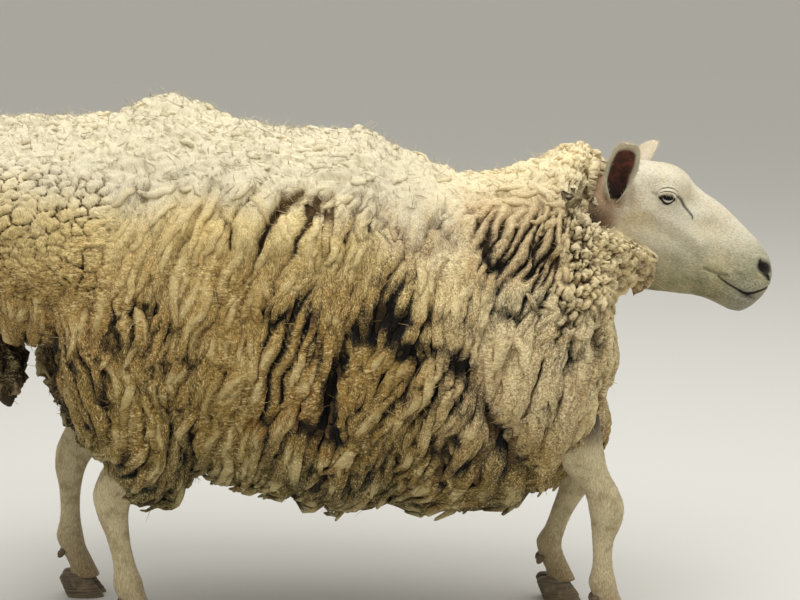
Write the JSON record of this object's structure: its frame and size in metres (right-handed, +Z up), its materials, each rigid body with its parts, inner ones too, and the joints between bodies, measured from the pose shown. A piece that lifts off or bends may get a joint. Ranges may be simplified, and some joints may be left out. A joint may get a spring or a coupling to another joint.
{
  "type": "sheep",
  "caption": "Life-size woolly ewe in a long unshorn fleece, walking, with its head carried forward and its cloven hooves flat on the floor.",
  "frame": {"origin": "on the floor, under the middle of the animal's bounding box", "axes": "+X towards the nose, +Y towards the animal's left, +Z up"},
  "size_m": [1.3094, 0.586, 0.8389],
  "materials": {
    "fleece": "matt cream to tan wool",
    "face": "matt short white hair",
    "leg": "matt short cream hair",
    "horn": "satin dark horn",
    "eye": "wet gloss"
  },
  "bodies": {
    "root": {"trunk": "fleece", "neck": "fleece", "tail": "fleece", "head": "face", "ear_left": "face", "ear_right": "face", "eye_left": "eye", "eye_right": "eye", "foreleg_left": "leg", "foreleg_right": "leg", "hindleg_left": "leg", "hindleg_right": "leg", "claw_foreleg_left_inner": "horn", "claw_foreleg_left_outer": "horn", "claw_foreleg_right_inner": "horn", "claw_foreleg_right_outer": "horn", "claw_hindleg_left_inner": "horn", "claw_hindleg_left_outer": "horn", "claw_hindleg_right_inner": "horn", "claw_hindleg_right_outer": "horn"}
  },
  "joints": []
}
